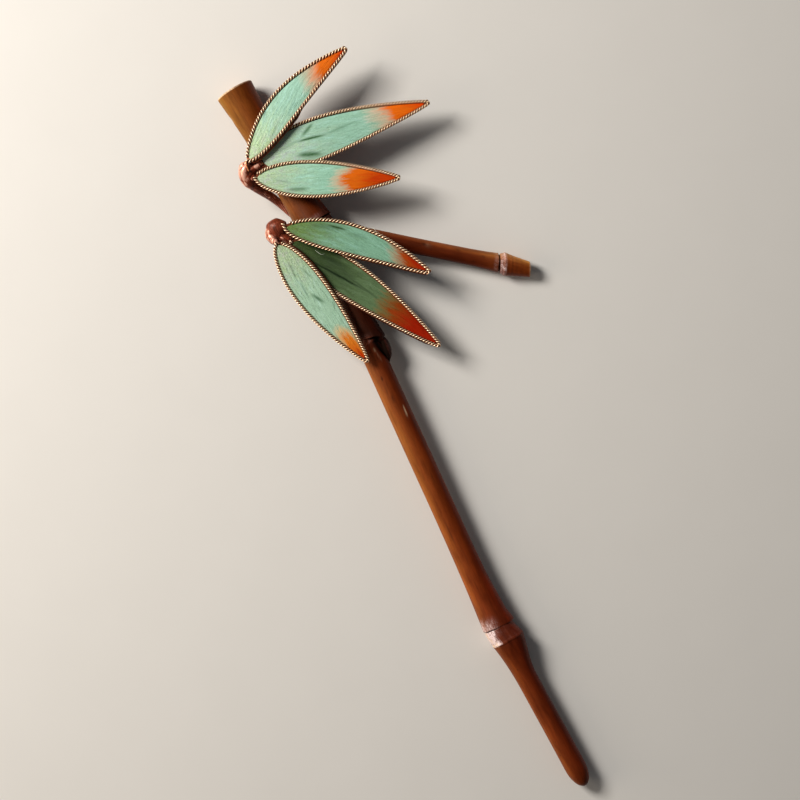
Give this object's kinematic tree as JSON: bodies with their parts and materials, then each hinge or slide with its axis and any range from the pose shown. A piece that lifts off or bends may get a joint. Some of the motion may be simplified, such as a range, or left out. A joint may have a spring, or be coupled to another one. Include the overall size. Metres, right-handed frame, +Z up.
{
  "type": "bamboo hair stick",
  "caption": "Bamboo hair stick with a side branch and sprigs of slender wire-rimmed leaves inlaid with feather, green shading to orange at the tips.",
  "frame": {"origin": "middle of the bounding box's floor, where the stick rests", "axes": "+X along the stick from its cut head to its hair end, +Y to the side where the branch and the leaves reach, +Z up, the way the leaves face"},
  "size_m": [0.1795, 0.0532, 0.012],
  "materials": {
    "bamboo": "stained and polished bamboo, satin sheen",
    "gilt_wire": "gilt twisted wire with dark recesses",
    "pale_feather": "turquoise feather with orange tip, fine barbs",
    "dark_feather": "dark green feather with red-orange tip, fine barbs",
    "thread": "red-brown silk thread, wound and waxed"
  },
  "bodies": {
    "root": {"culm": "bamboo", "side_branch": "bamboo", "binding_a": "thread", "binding_b": "thread", "leaf_a1_frame": "gilt_wire", "leaf_a2_frame": "gilt_wire", "leaf_a3_frame": "gilt_wire", "leaf_b1_frame": "gilt_wire", "leaf_b2_frame": "gilt_wire", "leaf_b3_frame": "gilt_wire", "leaf_a1_feather": "pale_feather", "leaf_a2_feather": "pale_feather", "leaf_a3_feather": "pale_feather", "leaf_b1_feather": "dark_feather", "leaf_b2_feather": "dark_feather", "leaf_b3_feather": "pale_feather"}
  },
  "joints": []
}
